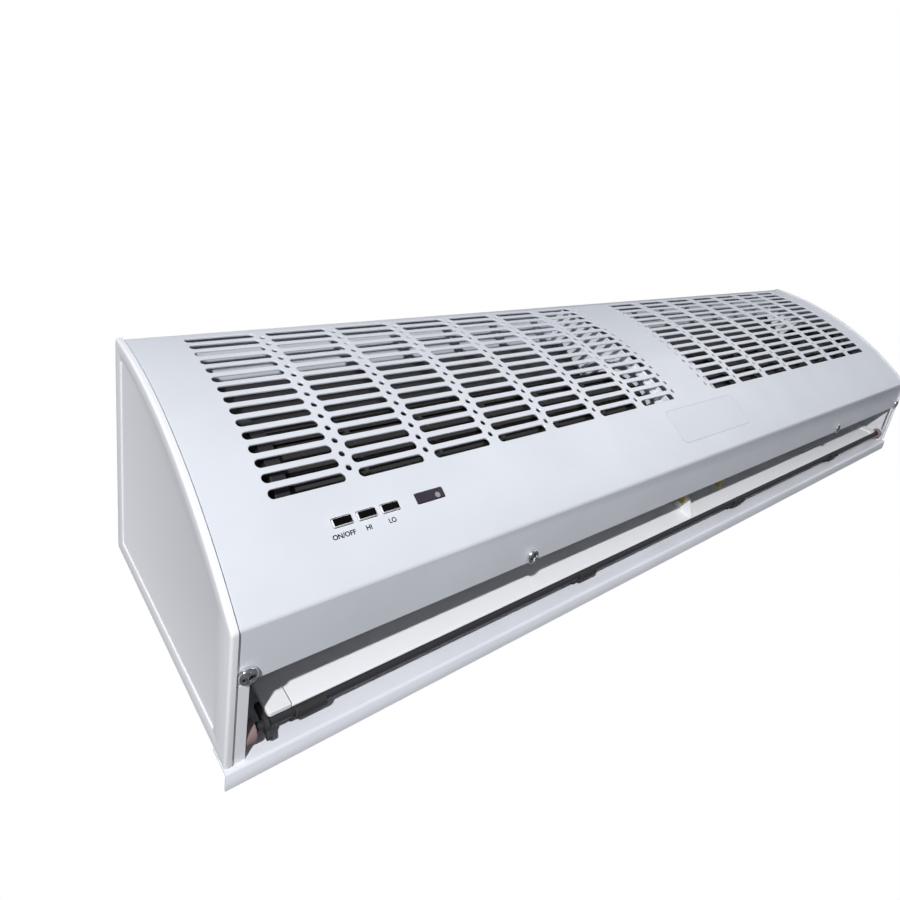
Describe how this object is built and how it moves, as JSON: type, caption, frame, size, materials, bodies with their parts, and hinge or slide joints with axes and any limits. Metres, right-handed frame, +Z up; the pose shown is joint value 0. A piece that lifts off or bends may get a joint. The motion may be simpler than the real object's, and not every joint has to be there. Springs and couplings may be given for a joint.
{
  "type": "air curtain",
  "caption": "Wall-hung air curtain: arched slotted cover, end caps, cross-flow rotor driven by a central motor, and a tilting outlet vane.",
  "frame": {"origin": "on the wall face, at the middle of the wall plate", "axes": "+X along the unit to its right end seen from the front, +Y into the wall, +Z up; the outlet points to -Z"},
  "size_m": [0.9, 0.1672, 0.2007],
  "materials": {
    "cover_paint": "smooth glossy white powder coat",
    "cap_plastic": "moulded white plastic, fine satin",
    "vane_white": "glossy white",
    "white_plastic": "moulded white plastic",
    "black_plastic": "moulded black plastic",
    "black_paint": "black painted steel sheet",
    "black_rod": "black painted steel rod",
    "galvanised_steel": "galvanised sheet",
    "yellow_zinc": "yellow passivated zinc plate",
    "motor_steel": "rolled steel can",
    "bright_steel": "nickel plated steel",
    "bronze": "sintered bronze",
    "rubber": "black rubber",
    "brown_rubber": "red-brown rubber",
    "dark_window": "dark translucent window",
    "circuit_board": "green solder mask"
  },
  "bodies": {
    "housing": {"front_cover": "cover_paint", "back_pan": "cover_paint", "wall_plate": "galvanised_steel", "motor_body": "motor_steel", "motor_bracket": "yellow_zinc", "control_holder": "white_plastic", "control_board": "circuit_board", "receiver_window": "dark_window", "cable_grommet": "rubber", "run_capacitor": "black_plastic", "terminal_block": "white_plastic", "left_end_cap": "cap_plastic", "left_scroll": "black_paint", "left_tongue": "cover_paint", "left_outer_plate": "black_paint", "left_inner_plate": "cover_paint", "left_bearing_rubber": "rubber", "left_bearing_bush": "bronze", "left_motor_ring": "rubber", "left_vane_bush": "brown_rubber", "right_end_cap": "cap_plastic", "right_scroll": "black_paint", "right_tongue": "cover_paint", "right_outer_plate": "black_paint", "right_inner_plate": "cover_paint", "right_bearing_rubber": "rubber", "right_bearing_bush": "bronze", "right_motor_ring": "rubber", "right_vane_bush": "brown_rubber", "cover_screw_1": "bright_steel", "vane_clip_1": "black_plastic", "cover_screw_2": "bright_steel", "vane_clip_2": "black_plastic", "cover_screw_3": "bright_steel", "vane_clip_3": "black_plastic", "cover_screw_4": "bright_steel", "vane_clip_4": "black_plastic"},
    "rotor": {"motor_shaft": "bright_steel", "left_impeller": "black_plastic", "left_drive_hub": "rubber", "left_stub_shaft": "bright_steel", "right_impeller": "black_plastic", "right_drive_hub": "rubber", "right_stub_shaft": "bright_steel"},
    "vane": {"air_vane": "vane_white", "vane_rod": "black_rod", "vane_finger_tab": "white_plastic", "vane_lever": "black_plastic", "left_vane_plug": "white_plastic", "right_vane_plug": "white_plastic"},
    "power_key": {"power_button": "black_plastic"},
    "high_speed_key": {"high_speed_button": "black_plastic"},
    "low_speed_key": {"low_speed_button": "black_plastic"}
  },
  "joints": [
    {"name": "rotor_spin", "type": "hinge", "parent": "housing", "child": "rotor", "pos_m": [0, -0.083, 0.002], "axis": [1, 0, 0], "continuous": true},
    {"name": "vane_tilt", "type": "hinge", "parent": "housing", "child": "vane", "pos_m": [0, -0.021, -0.092], "axis": [1, 0, 0], "range_deg": [-10, 15]},
    {"name": "power_press", "type": "slide", "parent": "housing", "child": "power_key", "axis": [0, 0.8414, 0.5404], "range_m": [0, 0.0015], "stiffness_N_per_m": 800, "springref_m": -0.0005},
    {"name": "high_speed_press", "type": "slide", "parent": "housing", "child": "high_speed_key", "axis": [0, 0.8414, 0.5404], "range_m": [0, 0.0015], "stiffness_N_per_m": 800, "springref_m": -0.0005},
    {"name": "low_speed_press", "type": "slide", "parent": "housing", "child": "low_speed_key", "axis": [0, 0.8414, 0.5404], "range_m": [0, 0.0015], "stiffness_N_per_m": 800, "springref_m": -0.0005}
  ]
}
